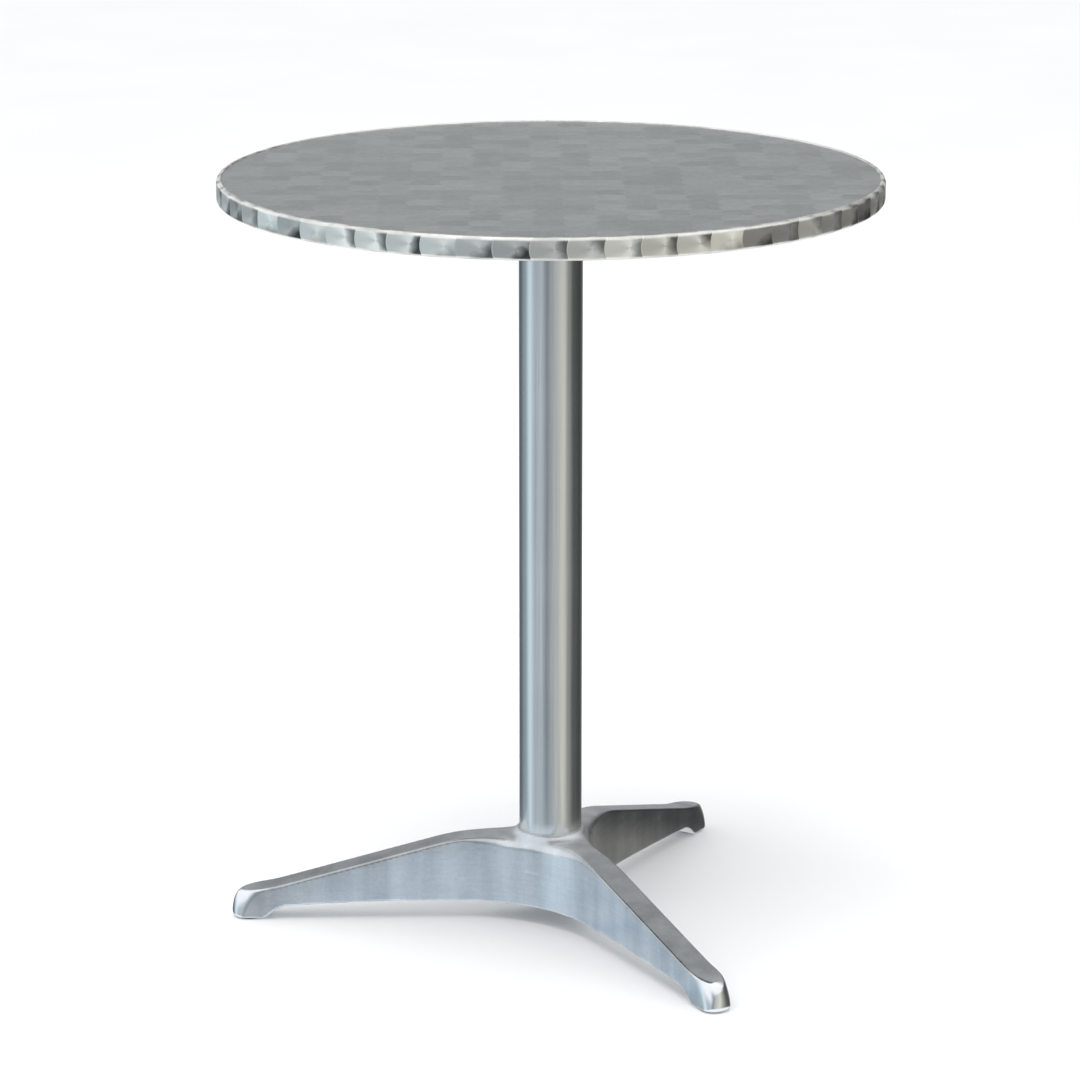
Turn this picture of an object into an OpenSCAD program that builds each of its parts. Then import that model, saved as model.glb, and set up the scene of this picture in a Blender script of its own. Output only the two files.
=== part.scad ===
// Round bistro table with a metal-faced top, a tubular column and a cast base of three legs.
// Millimetres. The origin is on the floor under the column's axis, +Z is up, and one leg lies along -X.

/* [Table] */
// Height of the table above the floor, with its feet screwed in
table_h = 704; // [664:5:764]
// Diameter of the round top
top_d = 600; // [580:10:700]
// Thickness of the top with its edge band
top_t = 20; // [18:0.5:28]

/* [Top] */
// Thickness of the metal sheet that covers the top
sheet_t = 0.8; // [0.6:0.1:1.2]
// Thickness of the backing sheet under the core
backing_t = 0.6; // [0.4:0.1:1]
// Thickness of the strip that the edge band is rolled from
band_t = 1.2; // [1:0.1:1.4]
// Radius of the edge band's rounded corners
band_corner_r = 2.6; // [2:0.2:4]
// Reach of the edge band's upper lip over the sheet
upper_lip = 4.6; // [4.2:0.2:8]
// Reach of the edge band's lower lip under the backing sheet
lower_lip = 10; // [6:1:14]
// Gap between the two ends of the edge band
seam_gap = 0.3; // [0.2:0.1:1]

/* [Column] */
// Outer diameter of the column tube
tube_d = 58; // [52:1:60]
// Wall thickness of the column tube
tube_wall = 1.5; // [1.2:0.1:3]
// Diameter of the tie rod that clamps the table together
rod_d = 10; // [8:1:12]

/* [Base] */
// Distance from the column axis to the tip of a leg
leg_reach = 300; // [290:1:310]
// Width of a leg
leg_w = 27; // [26:0.5:32]
// Height of the base's upper face around the column
hub_z = 82; // [80:1:90]
// Angle at which the legs run down to the feet
leg_slope = 15.6; // [14:0.2:16]
// Radius, seen from above, of the hollow between two legs
web_r = 138; // [120:1:150]
// Height of the legs' lower edge above the floor, at the hub
leg_under_z = 18.5; // [17:0.5:20]
// Thickness of the casting's side walls
wall_t = 4; // [3:0.5:5]
// Thickness of the casting's upper skin
skin_t = 5; // [4:0.5:6]

/* [Feet] */
// Diameter of the foot screws
foot_screw_d = 8; // [6:1:8]
// Diameter of the plastic foot pads
pad_d = 22; // [20:0.5:22]
// Height of the casting above the floor at the feet
foot_gap = 1.6; // [1.2:0.2:3]

/* [Hidden] */
$fn = 96;

// Clearances: between pieces of one body, of a shaft that turns in a hole, and between moving pieces
fixed_gap = 0.1;
run_gap = 0.08;
free_gap = 0.35;
cut = 1;

// Top
top_r = top_d / 2;
top_z0 = table_h - top_t;
sheet_z1 = table_h - band_t;
sheet_z0 = sheet_z1 - sheet_t;
backing_z0 = top_z0 + band_t;
core_z0 = backing_z0 + backing_t;
sheet_r = top_r - band_corner_r - fixed_gap;
core_r = top_r - band_t - fixed_gap;
core_chamfer = band_corner_r - band_t + 0.4;
sheet_step = 0.2;
joiner_w = 26;
joiner_h = 10;
joiner_t = 0.8;

// Bracket
bracket_h = 22;
bracket_plate_t = 5;
arm_reach = 122;
arm_w = 26;
arm_rib_w = 6;
rib_step = 2;
arm_count = 4;
arm_angle0 = 45;
spigot_h = 26;
bracket_hub_r = tube_d / 2 + 8;
tube_top_z = backing_z0 - bracket_h;
screw_r = 2.1;
screw_head_r = 4.2;
screw_head_h = 2.6;
screw_crown_r = 3;
screw_bite = 12;
screw_hole_r = screw_r + 0.4;
screw_well_r = screw_head_r + 1;
screw_tip_h = 4;
screw_tip_r = 0.3;
screw_shank_h = bracket_plate_t + backing_t + screw_bite - screw_tip_h;
recess_l = 4.4;
recess_w = 0.9;
recess_depth = 1.6;
screw_rings = [62, 106];

// Column and tie rod
tube_r = tube_d / 2;
rod_r = rod_d / 2;
nut_r = rod_d * 0.98;
nut_h = rod_d * 0.8;
jam_nut_h = rod_d * 0.5;
washer_r = rod_d * 1.5;
washer_t = 2.5;
spring_t = 2.5;
spigot_z0 = tube_top_z - spigot_h;
rod_top_z = backing_z0 - 7;
rod_end_gap = 2;
rod_chamfer = 1;
nut_chamfer = 0.6;
spring_r = nut_r - 0.8;
spring_split = 1;
spring_lean = 20;

// Base
leg_angles = [180, 300, 60];
leg_half = leg_w / 2;
collar_r = tube_r + 1.6;
collar_z = hub_z + 5;
collar_flare = collar_z - hub_z;
socket_z = collar_z - 12;
crown_r0 = 48;
crown_radius = 230;
web_c = (leg_half + web_r) / sin(60);
web_tangent = (leg_half + web_r) / tan(60);
boss_r = 16;
boss_z0 = 42;
rod_hole_r = rod_r + 0.3;
tip_break = 258;
tip_slope = 9;
nub_in = 268;
nub_run = 12;
nub_sink = 2;
under_r0 = 100;
under_r1 = nub_in - nub_run - 2 * nub_sink;
under_radius = 2000;
nose_tilt = 28;
nose_z = foot_gap + 3.5;
nose_round = 4;
nose_reach = 20;
leg_end_r = 235;
cavity_end = 252;
washer_z0 = boss_z0 - washer_t;
spring_z0 = washer_z0 - spring_t;
nut_z0 = spring_z0 - nut_h;
rod_bottom_z = nut_z0 - 4;

// Feet
foot_r = leg_reach - 17.5;
pad_r = pad_d / 2;
pad_h = 6;
pad_floor = 1.8;
pad_corner = 0.8;
head_r = 7;
head_h = 2.6;
head_z0 = pad_floor + free_gap;
foot_screw_r = foot_screw_d / 2;
foot_screw_top = 19;
foot_bore_top = foot_screw_top + 1;
foot_chamfer = 1;
key_depth = 4;
key_hole_r = 3.2;
key_af = 4;

// Points along an arc, from angle a0 to angle a1
function arc(centre, radius, a0, a1, steps) = [
    for (i = [0:steps])
        let (a = a0 + (a1 - a0) * i / steps)
            centre + radius * [cos(a), sin(a)]
];

// Height of the legs' upper face at distance r, past the crown
function slope_z(r) =
    let (r0 = crown_r0 + crown_radius * sin(leg_slope))
    let (z0 = hub_z - crown_radius * (1 - cos(leg_slope)))
        z0 - (r - r0) * tan(leg_slope);

// Height of the legs' upper face from the tip's change of slope outwards
function tip_z(r) = slope_z(tip_break) - (r - tip_break) * tan(tip_slope);

// Height of the legs' lower edge at distance r
function under_z(r) = leg_under_z - pow(r - under_r0, 2) / (2 * under_radius);

// Square with four round corners, drawn from its lower left corner
module round_square(size, r) {
    translate([r, 0]) square([size[0] - 2 * r, size[1]]);
    translate([0, r]) square([size[0], size[1] - 2 * r]);
    for (x = [r, size[0] - r])
        for (y = [r, size[1] - r])
            translate([x, y]) circle(r);
}

// ---- Top ----

// Metal sheet that covers the top: the edge band's upper lip holds down its slightly lower rim
module top_sheet() {
    color("#949794")
        translate([0, 0, sheet_z0]) {
            cylinder(h = sheet_t, r = top_r - upper_lip - fixed_gap);
            cylinder(h = sheet_t - sheet_step, r = sheet_r);
        }
}

// Pocket or plate behind the seam of the edge band, grown by gap
module seam_plate(gap) {
    intersection() {
        translate([0, 0, top_z0 + top_t / 2 - joiner_h / 2 - gap])
            difference() {
                cylinder(h = joiner_h + 2 * gap, r = top_r - band_t - fixed_gap / 2 + gap);
                translate([0, 0, -cut])
                    cylinder(h = joiner_h + 2 * gap + 2 * cut, r = top_r - band_t - joiner_t - gap);
            }
        translate([-joiner_w / 2 - gap, 0, top_z0])
            cube([joiner_w + 2 * gap, top_r, top_t]);
    }
}

// Fibreboard core that stiffens the top
module core_board() {
    color("#a9825a")
        difference() {
            rotate_extrude()
                polygon([
                    [0, core_z0],
                    [core_r - core_chamfer, core_z0],
                    [core_r, core_z0 + core_chamfer],
                    [core_r, sheet_z0 - core_chamfer],
                    [core_r - core_chamfer, sheet_z0],
                    [0, sheet_z0]
                ]);
            seam_plate(fixed_gap);
            bracket_holes(core_z0 - cut, screw_bite + cut + fixed_gap, screw_r + fixed_gap / 2);
        }
}

// Dark backing sheet under the core
module backing_sheet() {
    color("#3c3d3f")
        difference() {
            translate([0, 0, backing_z0])
                cylinder(h = backing_t, r = sheet_r);
            bracket_holes(backing_z0 - cut, backing_t + 2 * cut, screw_r + fixed_gap);
        }
}

// Outline of the edge band's section, moved in from its outer face
module band_outline(inset) {
    translate([top_r - 3 * lower_lip, top_z0 + inset])
        round_square([3 * lower_lip - inset, top_t - 2 * inset], band_corner_r - inset);
}

// Edge band: a rolled strip with a lip over the sheet and a lip under the backing
module edge_band() {
    color("#b9bcbb")
        difference() {
            rotate_extrude($fn = 180)
                difference() {
                    band_outline(0);
                    band_outline(band_t);
                    translate([0, top_z0 - cut])
                        square([top_r - lower_lip, top_t + 2 * cut]);
                    translate([0, top_z0 + top_t / 2])
                        square([top_r - upper_lip, top_t]);
                }
            translate([-seam_gap / 2, 0, top_z0 - cut])
                cube([seam_gap, top_r + cut, top_t + 2 * cut]);
        }
}

// Curved plate that joins the two ends of the edge band from behind
module band_joiner() {
    color("#8f9294") seam_plate(0);
}

// ---- Bracket ----

// Places its children at every screw of the bracket
module at_bracket_screws() {
    for (i = [0:arm_count - 1])
        for (r = screw_rings)
            rotate(arm_angle0 + i * 360 / arm_count)
                translate([r, 0, 0])
                    children();
}

// Round holes of one radius at every screw of the bracket
module bracket_holes(z0, h, r) {
    at_bracket_screws()
        translate([0, 0, z0])
            cylinder(h = h, r = r);
}

// One arm of the bracket with the rib under it
module bracket_arm() {
    translate([0, -arm_w / 2, backing_z0 - bracket_plate_t])
        cube([arm_reach - arm_w / 2, arm_w, bracket_plate_t]);
    translate([arm_reach - arm_w / 2, 0, backing_z0 - bracket_plate_t])
        cylinder(h = bracket_plate_t, r = arm_w / 2);
    translate([0, arm_rib_w / 2, backing_z0])
        rotate([90, 0, 0])
            linear_extrude(arm_rib_w)
                polygon([
                    [0, -bracket_h],
                    [bracket_hub_r, rib_step - bracket_h],
                    [arm_reach - 4 * rib_step, -bracket_plate_t - rib_step],
                    [arm_reach - 2 * rib_step, rib_step / 2 - bracket_plate_t],
                    [arm_reach - 2 * rib_step, -rib_step],
                    [0, -rib_step]
                ]);
}

// Cast bracket of four arms, with a spigot that fills the top of the column
module top_bracket() {
    color("#8b8e90")
        difference() {
            union() {
                for (i = [0:arm_count - 1])
                    rotate(arm_angle0 + i * 360 / arm_count)
                        bracket_arm();
                translate([0, 0, tube_top_z])
                    cylinder(h = bracket_h, r = bracket_hub_r);
                translate([0, 0, spigot_z0])
                    cylinder(h = spigot_h + cut, r = tube_r - tube_wall - fixed_gap);
            }
            translate([0, 0, spigot_z0 - cut])
                cylinder(h = rod_top_z + rod_end_gap - spigot_z0 + cut, r = rod_r + fixed_gap);
            bracket_holes(backing_z0 - bracket_h, bracket_h + cut, screw_hole_r);
            at_bracket_screws()
                translate([0, 0, tube_top_z - cut])
                    cylinder(h = bracket_h - bracket_plate_t + cut, r = screw_well_r);
        }
}

// Wood screws that hold the bracket to the core
module bracket_screws() {
    color("#c9c9c6")
        at_bracket_screws()
            translate([0, 0, backing_z0 - bracket_plate_t])
                difference() {
                    union() {
                        translate([0, 0, -screw_head_h])
                            cylinder(h = screw_head_h, r1 = screw_crown_r, r2 = screw_head_r);
                        cylinder(h = screw_shank_h, r = screw_r);
                        translate([0, 0, screw_shank_h])
                            cylinder(h = screw_tip_h, r1 = screw_r, r2 = screw_tip_r);
                    }
                    for (a = [0, 90])
                        rotate(a)
                            translate([-recess_l / 2, -recess_w / 2, -screw_head_h - cut])
                                cube([recess_l, recess_w, recess_depth + cut]);
                }
}

// ---- Column ----

// Tube of the column, clamped between the bracket and the base
module column_tube() {
    color("#9aa3a8")
        translate([0, 0, socket_z])
            difference() {
                cylinder(h = tube_top_z - socket_z, r = tube_r);
                translate([0, 0, -cut])
                    cylinder(h = tube_top_z - socket_z + 2 * cut, r = tube_r - tube_wall);
            }
}

// Steel rod that runs through the column and pulls the bracket and the base together
module tie_rod() {
    color("#b5b5ae")
        translate([0, 0, rod_bottom_z]) {
            cylinder(h = rod_top_z - rod_chamfer - rod_bottom_z, r = rod_r);
            translate([0, 0, rod_top_z - rod_chamfer - rod_bottom_z])
                cylinder(h = rod_chamfer, r1 = rod_r, r2 = rod_r - rod_chamfer);
        }
}

// Hexagon nut that stands on z0
module hex_nut(z0, h) {
    translate([0, 0, z0])
        difference() {
            intersection() {
                cylinder(h = h, r = nut_r, $fn = 6);
                cylinder(h = h, r1 = nut_r - nut_chamfer, r2 = nut_r + h - nut_chamfer);
                cylinder(h = h, r1 = nut_r + h - nut_chamfer, r2 = nut_r - nut_chamfer);
            }
            translate([0, 0, -cut])
                cylinder(h = h + 2 * cut, r = rod_r + fixed_gap);
        }
}

// Thin nut that locks the rod against the bracket's spigot
module jam_nut() {
    color("#b5b5ae") hex_nut(spigot_z0 - jam_nut_h, jam_nut_h);
}

// Nut under the base that tightens the rod
module tie_nut() {
    color("#b5b5ae") hex_nut(nut_z0, nut_h);
}

// Wide washer under the base's boss
module flat_washer() {
    color("#c2c2bb")
        translate([0, 0, washer_z0])
            difference() {
                cylinder(h = washer_t, r = washer_r);
                translate([0, 0, -cut])
                    cylinder(h = washer_t + 2 * cut, r = rod_r + fixed_gap);
            }
}

// Split spring washer between the wide washer and the nut
module spring_washer() {
    color("#a8a8a0")
        translate([0, 0, spring_z0])
            difference() {
                cylinder(h = spring_t, r = spring_r);
                translate([0, 0, -cut])
                    cylinder(h = spring_t + 2 * cut, r = rod_r + fixed_gap);
                rotate([spring_lean, 0, 0])
                    translate([0, -spring_split / 2, -3 * spring_t])
                        cube([nut_r, spring_split, 6 * spring_t]);
            }
}

// ---- Base ----

// The base seen from above: three legs joined by hollow curves, moved in by inset
module base_plan(inset, reach) {
    difference() {
        union() {
            for (a = leg_angles)
                rotate(a)
                    translate([0, inset - leg_half])
                        square([reach, leg_w - 2 * inset]);
            polygon([
                for (a = leg_angles)
                    for (side = [-1, 1])
                        let (r = web_tangent, y = side * (leg_half - inset))
                            [r * cos(a) - y * sin(a), r * sin(a) + y * cos(a)]
            ]);
        }
        for (a = leg_angles)
            rotate(a + 60)
                translate([web_c, 0])
                    circle(web_r + inset, $fn = 180);
    }
}

// Side view of the base from its axis outwards
module base_profile() {
    polygon(concat(
        [[0, collar_z], [collar_r, collar_z]],
        arc([collar_r + collar_flare, collar_z], collar_flare, 180, 270, 6),
        arc([crown_r0, hub_z - crown_radius], crown_radius, 90, 90 - leg_slope, 8),
        [[tip_break, slope_z(tip_break)], [leg_reach, tip_z(leg_reach)]],
        arc([leg_reach - nose_round, foot_gap + nose_round], nose_round, 0, -90, 6),
        [[nub_in, foot_gap], [nub_in - nub_run, under_z(under_r1) - nub_sink]],
        [for (i = [6:-1:0]) let (r = under_r0 + (under_r1 - under_r0) * i / 6) [r, under_z(r)]],
        [[0, leg_under_z]]
    ));
}

// Side view of the hollow under the base
module cavity_profile() {
    polygon(concat(
        [[boss_r, 0], [boss_r, socket_z - skin_t], [collar_r, socket_z - skin_t]],
        arc([crown_r0, hub_z - crown_radius], crown_radius - skin_t, 90, 90 - leg_slope, 8),
        [[cavity_end, slope_z(cavity_end) - skin_t], [cavity_end, 0]]
    ));
}

// Distance of the leaning nose's axis from the column at height z
function nose_r(z) = leg_reach - leg_half / cos(nose_tilt) - (z - nose_z) * tan(nose_tilt);

// End of a leg: its sides run into a round nose that leans back towards the column
module leg_end() {
    translate([0, leg_half, 0])
        rotate([90, 0, 0])
            linear_extrude(leg_w)
                polygon([[leg_end_r, 0], [nose_r(0), 0], [nose_r(collar_z), collar_z], [leg_end_r, collar_z]]);
    translate([nose_r(0), 0, 0])
        rotate([0, -nose_tilt, 0])
            translate([0, 0, -nose_reach])
                cylinder(h = 2 * nose_reach + collar_z, r = leg_half);
}

// Cast base: hollow from below, with a socket for the column and a solid foot at each tip
module base_casting() {
    color("#a3abb0")
        difference() {
            intersection() {
                union() {
                    linear_extrude(collar_z)
                        base_plan(0, leg_end_r + cut);
                    for (a = leg_angles)
                        rotate(a)
                            leg_end();
                }
                rotate_extrude($fn = 180) base_profile();
            }
            intersection() {
                translate([0, 0, -cut])
                    linear_extrude(collar_z)
                        base_plan(wall_t, leg_reach);
                rotate_extrude() cavity_profile();
            }
            translate([0, 0, -cut])
                cylinder(h = boss_z0 + cut, r = boss_r + cut);
            translate([0, 0, boss_z0 - cut])
                cylinder(h = collar_z, r = rod_hole_r);
            translate([0, 0, socket_z])
                cylinder(h = collar_z, r = tube_r + fixed_gap);
            for (a = leg_angles)
                rotate(a)
                    translate([foot_r, 0, 0]) {
                        translate([0, 0, -cut])
                            cylinder(h = pad_h + free_gap + cut, r = pad_r + free_gap);
                        cylinder(h = foot_bore_top, r = foot_screw_r + run_gap);
                    }
        }
}

// ---- Feet ----

// Plastic pad of one foot, closed around the head of its screw
module foot_pad(index) {
    color("#4a4b4d")
        rotate(leg_angles[index])
            translate([foot_r, 0, 0])
                difference() {
                    union() {
                        cylinder(h = pad_corner, r1 = pad_r - pad_corner, r2 = pad_r);
                        translate([0, 0, pad_corner])
                            cylinder(h = pad_h - pad_corner, r = pad_r);
                    }
                    translate([0, 0, pad_floor])
                        cylinder(h = head_h + 2 * free_gap, r = head_r + free_gap);
                    cylinder(h = pad_h + cut, r = foot_screw_r + run_gap);
                    translate([0, 0, -cut])
                        cylinder(h = pad_floor + 2 * cut, r = key_hole_r);
                }
}

// Foot screw: its head turns inside the pad, and its thread runs in the casting
module foot_screw(index) {
    color("#b5b5ae")
        rotate(leg_angles[index])
            translate([foot_r, 0, 0])
                difference() {
                    union() {
                        translate([0, 0, head_z0])
                            cylinder(h = head_h, r = head_r);
                        translate([0, 0, head_z0])
                            cylinder(h = foot_screw_top - foot_chamfer - head_z0, r = foot_screw_r);
                        translate([0, 0, foot_screw_top - foot_chamfer])
                            cylinder(h = foot_chamfer, r1 = foot_screw_r, r2 = foot_screw_r - foot_chamfer);
                    }
                    translate([0, 0, head_z0 - cut])
                        cylinder(h = key_depth + cut, r = key_af / sqrt(3), $fn = 6);
                }
}

top_sheet();
core_board();
backing_sheet();
edge_band();
band_joiner();
top_bracket();
bracket_screws();
column_tube();
tie_rod();
jam_nut();
flat_washer();
spring_washer();
tie_nut();
base_casting();
foot_pad(0);  // foot_pad_1
foot_pad(1);  // foot_pad_2
foot_pad(2);  // foot_pad_3
foot_screw(0);  // foot_screw_1
foot_screw(1);  // foot_screw_2
foot_screw(2);  // foot_screw_3
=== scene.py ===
"""Looks of the round bistro table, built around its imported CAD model. Metres, +Z up."""
import math

import bpy
import numpy as np
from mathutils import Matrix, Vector


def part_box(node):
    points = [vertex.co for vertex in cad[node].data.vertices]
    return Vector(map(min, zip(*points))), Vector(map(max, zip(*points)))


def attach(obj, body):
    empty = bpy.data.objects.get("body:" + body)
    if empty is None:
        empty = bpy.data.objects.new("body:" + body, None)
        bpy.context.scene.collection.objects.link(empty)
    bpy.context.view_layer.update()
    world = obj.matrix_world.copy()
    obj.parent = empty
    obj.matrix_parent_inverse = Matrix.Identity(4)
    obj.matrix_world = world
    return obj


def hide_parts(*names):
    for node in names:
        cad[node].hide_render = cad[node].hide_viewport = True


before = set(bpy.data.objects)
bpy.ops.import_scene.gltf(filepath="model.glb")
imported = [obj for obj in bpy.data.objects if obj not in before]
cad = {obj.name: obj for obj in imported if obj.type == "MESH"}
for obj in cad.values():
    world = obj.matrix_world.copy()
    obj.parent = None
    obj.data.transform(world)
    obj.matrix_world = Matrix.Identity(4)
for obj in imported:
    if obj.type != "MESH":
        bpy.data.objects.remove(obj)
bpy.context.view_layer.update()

MM = 0.001
TABLE = "table"
LEG_ANGLES = (180, 300, 60)


def node_box(name):
    """Lowest and highest corner of a CAD node, in millimetres."""
    lo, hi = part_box(name)
    return Vector(lo) / MM, Vector(hi) / MM


# Heights and radii that the new pieces share with the CAD model, in millimetres
BAND_LO, BAND_HI = node_box("edge_band")
TOP_R = BAND_HI.x
TOP_Z0, TOP_Z1 = BAND_LO.z, BAND_HI.z
BACKING_Z0 = node_box("backing_sheet")[0].z
BAND_T = BACKING_Z0 - TOP_Z0
TUBE_LO, TUBE_HI = node_box("column_tube")
BRACKET_LO, BRACKET_HI = node_box("top_bracket")
ROD_LO, ROD_HI = node_box("tie_rod")
BASE_LO, BASE_HI = node_box("base_casting")
UPPER_LIP = 4.6
LOWER_LIP = 10.0
SEAM_GAP = 0.3
TUBE_WALL = 1.5


# ---- Meshes ----

def add_mesh(name, points, faces, body, stands_for, slot):
    """Makes a smooth piece from points in millimetres, and fixes it to a CAD body."""
    mesh = bpy.data.meshes.new(name)
    mesh.from_pydata((np.asarray(points) * MM).tolist(), [], [list(f) for f in faces])
    mesh.validate()
    mesh.polygons.foreach_set("use_smooth", [True] * len(mesh.polygons))
    mesh.update()
    piece = bpy.data.objects.new(name, mesh)
    bpy.context.scene.collection.objects.link(piece)
    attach(piece, body)
    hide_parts(stands_for)
    return piece


def corner(cx, cy, radius, a0, a1, steps=6):
    """Points of a round corner about a centre, from angle a0 to a1 in degrees."""
    angles = np.radians(np.linspace(a0, a1, steps + 1))
    return [(cx + radius * math.cos(a), cy + radius * math.sin(a)) for a in angles]


def lathe(profile, segments, closed=True, gap=None, shape=None):
    """Turns a profile of (radius, height) points about Z. A gap leaves the ring open at +Y.

    A profile that isn't closed runs from the axis back to it, and its ends are capped.
    shape(radius, height, angle) moves the points of the turned surface in or out.
    """
    prof = np.asarray(profile, float)
    count = len(prof)
    if gap is None:
        angles = np.linspace(0, 2 * math.pi, segments, endpoint=False)
    else:
        half = gap / 2 / prof[:, 0].max()
        angles = math.pi / 2 + np.linspace(half, 2 * math.pi - half, segments)
    radius = np.repeat(prof[None, :, 0], segments, 0)
    height = np.repeat(prof[None, :, 1], segments, 0)
    turn = np.repeat(angles[:, None], count, 1)
    if shape is not None:
        radius = shape(radius, height, turn)
    points = np.stack([radius * np.cos(turn), radius * np.sin(turn), height], -1).reshape(-1, 3)
    around = segments if gap is None else segments - 1
    along = count if closed else count - 1
    faces = []
    for i in range(around):
        a, b = i * count, (i + 1) % segments * count
        for j in range(along):
            k = (j + 1) % count
            faces.append((a + j, b + j, b + k, a + k))
    if gap is not None and closed:
        faces.append(tuple(range(count)))
        faces.append(tuple((segments - 1) * count + j for j in reversed(range(count))))
    if not closed:
        faces.append(tuple(i * count for i in reversed(range(segments))))
        faces.append(tuple(i * count + count - 1 for i in range(segments)))
    return points, faces


def moved(points, shift, turn=0.0):
    """Points turned about Z by an angle in degrees, then shifted."""
    c, s = math.cos(math.radians(turn)), math.sin(math.radians(turn))
    p = np.asarray(points)
    x, y = c * p[:, 0] - s * p[:, 1], s * p[:, 0] + c * p[:, 1]
    return np.stack([x, y, p[:, 2]], 1) + np.asarray(shift)


def bevel(piece, width):
    """Softens a CAD node's sharp edges."""
    mod = piece.modifiers.new("soft_edges", "BEVEL")
    mod.width = width * MM
    mod.segments = 2
    mod.limit_method = "ANGLE"
    mod.angle_limit = math.radians(35)
    mod.use_clamp_overlap = True
    mod.harden_normals = True


# ---- Castings: a distance field, meshed on a grid and then pulled onto the field ----

def both(a, b, radius):
    """Field of the space inside both fields, with a rounded edge."""
    near = np.hypot(np.maximum(a + radius, 0), np.maximum(b + radius, 0))
    return np.minimum(-radius, np.maximum(a, b)) + near


def either(a, b, radius):
    """Field of the space inside either field, with a fillet where they meet."""
    near = np.hypot(np.maximum(radius - a, 0), np.maximum(radius - b, 0))
    return np.maximum(radius, np.minimum(a, b)) - near


def soft_max(a, b, reach):
    """The larger of two heights, blended where they are closer than reach."""
    h = np.maximum(reach - np.abs(a - b), 0) / reach
    return np.maximum(a, b) + h * h * reach / 4


def soft_min(a, b, reach):
    """The smaller of two heights, blended where they are closer than reach."""
    return -soft_max(-a, -b, reach)


GRADIENT_STEP = 0.05


def gradient(field, p):
    """Gradient of a field at points, by central differences."""
    g = np.empty_like(p)
    for axis in range(3):
        d = np.zeros(3)
        d[axis] = GRADIENT_STEP
        g[:, axis] = (field(*(p + d).T) - field(*(p - d).T)) / (2 * GRADIENT_STEP)
    return g


def surface_net(field, lo, hi, step):
    """Quads over the zero surface of a field, one point for each grid cell that it crosses."""
    axes = [np.arange(a, b + step, step) for a, b in zip(lo, hi)]
    value = field(*np.meshgrid(*axes, indexing="ij"))
    inside = value < 0
    cells = np.array(value.shape) - 1
    total = np.zeros((int(np.prod(cells)), 3))
    count = np.zeros(len(total))
    quads = []
    unit = np.eye(3, dtype=int)
    for axis in range(3):
        ahead = np.roll(inside, -1, axis)
        edge = inside != ahead
        edge[tuple(slice(-1, None) if k == axis else slice(None) for k in range(3))] = False
        at = np.argwhere(edge)
        va = value[tuple(at.T)]
        vb = value[tuple((at + unit[axis]).T)]
        crossing = at + (va / (va - vb))[:, None] * unit[axis]
        u, v = unit[(axis + 1) % 3], unit[(axis + 2) % 3]
        corners = []
        for shift in (0 * u, -u, -u - v, -v):
            cell = at + shift
            corners.append(np.ravel_multi_index(tuple(np.clip(cell, 0, cells - 1).T), tuple(cells)))
            for k in range(3):
                total[:, k] += np.bincount(corners[-1], crossing[:, k], len(total))
            count += np.bincount(corners[-1], minlength=len(total))
        quad = np.stack(corners, 1)
        out = inside[tuple(at.T)]
        quad[~out] = quad[~out][:, ::-1]
        quads.append(quad)
    quads = np.concatenate(quads)
    used = np.flatnonzero(count)
    number = np.full(len(total), -1)
    number[used] = np.arange(len(used))
    points = total[used] / count[used, None] * step + np.asarray(lo)
    return points, number[quads]


RELAX_ROUNDS = 7
RELAX_SHARE = 0.5
PULLS = 2
LONGEST_PULL = 0.5


def relaxed(field, points, quads):
    """Evens the points out along the surface, and pulls them onto it."""
    edges = np.concatenate([quads[:, [0, 1]], quads[:, [1, 2]], quads[:, [2, 3]], quads[:, [3, 0]]])
    both_ways = np.concatenate([edges, edges[:, ::-1]])
    degree = np.bincount(both_ways[:, 0], minlength=len(points))
    for _ in range(RELAX_ROUNDS):
        mean = np.stack([
            np.bincount(both_ways[:, 0], points[both_ways[:, 1], k], len(points)) for k in range(3)
        ], 1) / degree[:, None]
        g = gradient(field, points)
        size = np.sum(g * g, 1, keepdims=True)
        step = mean - points
        step -= np.sum(step * g, 1, keepdims=True) / size * g
        points = points + RELAX_SHARE * step
        for _ in range(PULLS):
            value = field(*points.T)[:, None]
            g = gradient(field, points)
            pull = np.clip(value, -LONGEST_PULL, LONGEST_PULL) / np.sum(g * g, 1, keepdims=True)
            points = points - pull * g
    return points


def add_casting(name, field, lo, hi, step, node, slot):
    """A cast piece from its field, with the field's own normals."""
    points, quads = surface_net(field, lo, hi, step)
    points = relaxed(field, points, quads)
    piece = add_mesh(name, points, quads, TABLE, node, slot)
    normals = gradient(field, points)
    normals /= np.linalg.norm(normals, axis=1, keepdims=True)
    piece.data.normals_split_custom_set_from_vertices(normals.tolist())
    return piece


def folded(x, y, count):
    """Folds equal arms about Z onto one along +X: radius, distance along it and across it."""
    sector = math.radians(360 / count)
    r = np.hypot(x, y)
    a = np.mod(np.arctan2(y, x), sector) - sector / 2
    return r, r * np.cos(a), np.abs(r * np.sin(a))


# Base casting: its plan, of three legs with hollow curves between them
LEG_HALF = 13.5
LEG_REACH = 300.0
WEB_RADIUS = 138.0
WEB_CENTRE_R = (LEG_HALF + WEB_RADIUS) / math.sin(math.radians(60))

# Its upper face: a level hub, a round crown, a long slope and a flatter tip
HUB_Z = 82.0
SLOPE = math.radians(15.6)
CROWN_R0 = 48.0
CROWN_RADIUS = 230.0
CROWN_LENGTH = CROWN_RADIUS * math.sin(SLOPE)
SLOPE_R0 = CROWN_R0 + CROWN_LENGTH
SLOPE_Z0 = HUB_Z - CROWN_RADIUS * (1 - math.cos(SLOPE))
TIP_SLOPE = math.radians(9)
TIP_BREAK = 258.0
TIP_BLEND = 1.2
FAR_BELOW = -1e3

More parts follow.
